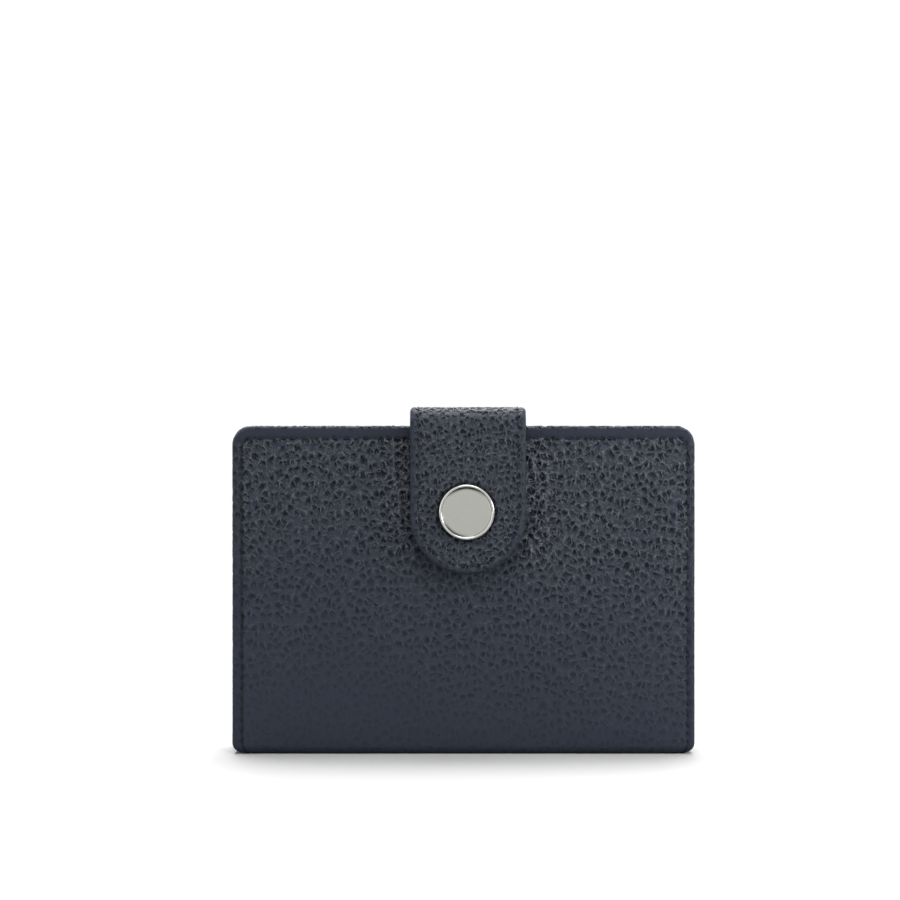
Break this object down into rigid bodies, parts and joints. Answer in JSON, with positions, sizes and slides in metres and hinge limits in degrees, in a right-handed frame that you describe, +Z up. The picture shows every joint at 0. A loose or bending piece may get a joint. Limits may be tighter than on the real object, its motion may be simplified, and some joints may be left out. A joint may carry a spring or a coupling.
{
  "type": "card holder",
  "caption": "Upright leather card holder: stiff covers round a fanning set of divider pockets, closed by a strap and snap.",
  "frame": {"origin": "middle of the bounding box at the height of the underside", "axes": "+Z up, +X to the right seen from the front, the front cover and its snap face -Y"},
  "size_m": [0.105, 0.0284, 0.0788],
  "materials": {
    "outer_leather": "satin",
    "lining_leather": "matte",
    "divider_leather": "matte",
    "gusset_cloth": "matte",
    "board": "matte",
    "snap_metal": "satin",
    "thread": "satin",
    "edge_paint": "satin"
  },
  "bodies": {
    "case": {"back_cover_leather": "outer_leather", "back_cover_board": "board", "back_cover_lining": "lining_leather", "spine_leather": "outer_leather", "spine_board": "board", "spine_lining": "lining_leather", "strap_base_leather": "outer_leather", "strap_base_lining": "lining_leather", "gusset_left_1": "gusset_cloth", "gusset_right_1": "gusset_cloth"},
    "front_cover": {"front_cover_leather": "outer_leather", "front_cover_board": "board", "front_cover_lining": "lining_leather", "snap_stud": "snap_metal", "snap_stud_rivet": "snap_metal"},
    "divider_1_body": {"divider_1": "divider_leather", "gusset_left_2": "gusset_cloth", "gusset_right_2": "gusset_cloth"},
    "divider_2_body": {"divider_2": "divider_leather", "gusset_left_3": "gusset_cloth", "gusset_right_3": "gusset_cloth"},
    "divider_3_body": {"divider_3": "divider_leather", "gusset_left_4": "gusset_cloth", "gusset_right_4": "gusset_cloth"},
    "divider_4_body": {"divider_4": "divider_leather", "gusset_left_5": "gusset_cloth", "gusset_right_5": "gusset_cloth"},
    "divider_5_body": {"divider_5": "divider_leather", "gusset_left_6": "gusset_cloth", "gusset_right_6": "gusset_cloth"},
    "strap_bridge": {"strap_bridge_leather": "outer_leather", "strap_bridge_lining": "lining_leather"},
    "strap_flap": {"strap_flap_leather": "outer_leather", "strap_flap_lining": "lining_leather", "strap_flap_stiffener": "board", "snap_cap": "snap_metal", "snap_socket": "snap_metal", "snap_spring": "snap_metal"}
  },
  "joints": [
    {"name": "front_cover_open", "type": "hinge", "parent": "case", "child": "front_cover", "pos_m": [0, -0.0081, 0.003], "axis": [1, 0, 0], "range_deg": [0, 27], "deforming": ["gusset_left_1", "gusset_right_1", "gusset_left_2", "gusset_right_2", "gusset_left_3", "gusset_right_3", "gusset_left_4", "gusset_right_4", "gusset_left_5", "gusset_right_5", "gusset_left_6", "gusset_right_6"]},
    {"name": "divider_1_swing", "type": "hinge", "parent": "case", "child": "divider_1_body", "pos_m": [0, 0.00647, 0.003], "axis": [1, 0, 0], "range_deg": [0, 4.5]},
    {"name": "divider_2_swing", "type": "hinge", "parent": "case", "child": "divider_2_body", "pos_m": [0, 0.00403, 0.003], "axis": [1, 0, 0], "range_deg": [0, 9]},
    {"name": "divider_3_swing", "type": "hinge", "parent": "case", "child": "divider_3_body", "pos_m": [0, 0.0016, 0.003], "axis": [1, 0, 0], "range_deg": [0, 13.5]},
    {"name": "divider_4_swing", "type": "hinge", "parent": "case", "child": "divider_4_body", "pos_m": [0, -0.00083, 0.003], "axis": [1, 0, 0], "range_deg": [0, 18]},
    {"name": "divider_5_swing", "type": "hinge", "parent": "case", "child": "divider_5_body", "pos_m": [0, -0.00327, 0.003], "axis": [1, 0, 0], "range_deg": [0, 22.5]},
    {"name": "strap_lift", "type": "hinge", "parent": "case", "child": "strap_bridge", "pos_m": [0.001, 0.01289, 0.07754], "axis": [-1, 0, 0], "range_deg": [0, 110]},
    {"name": "strap_unbend", "type": "hinge", "parent": "strap_bridge", "child": "strap_flap", "pos_m": [0.001, -0.01124, 0.07754], "axis": [-1, 0, 0], "range_deg": [0, 100]}
  ],
  "couplings": [
    {"joint": "divider_1_swing", "follows": "front_cover_open", "ratio": 0.16667},
    {"joint": "divider_2_swing", "follows": "front_cover_open", "ratio": 0.33333},
    {"joint": "divider_3_swing", "follows": "front_cover_open", "ratio": 0.5},
    {"joint": "divider_4_swing", "follows": "front_cover_open", "ratio": 0.66667},
    {"joint": "divider_5_swing", "follows": "front_cover_open", "ratio": 0.83333},
    {"joint": "strap_lift", "follows": "front_cover_open", "ratio": 4.074},
    {"joint": "strap_unbend", "follows": "front_cover_open", "ratio": 3.7037}
  ]
}
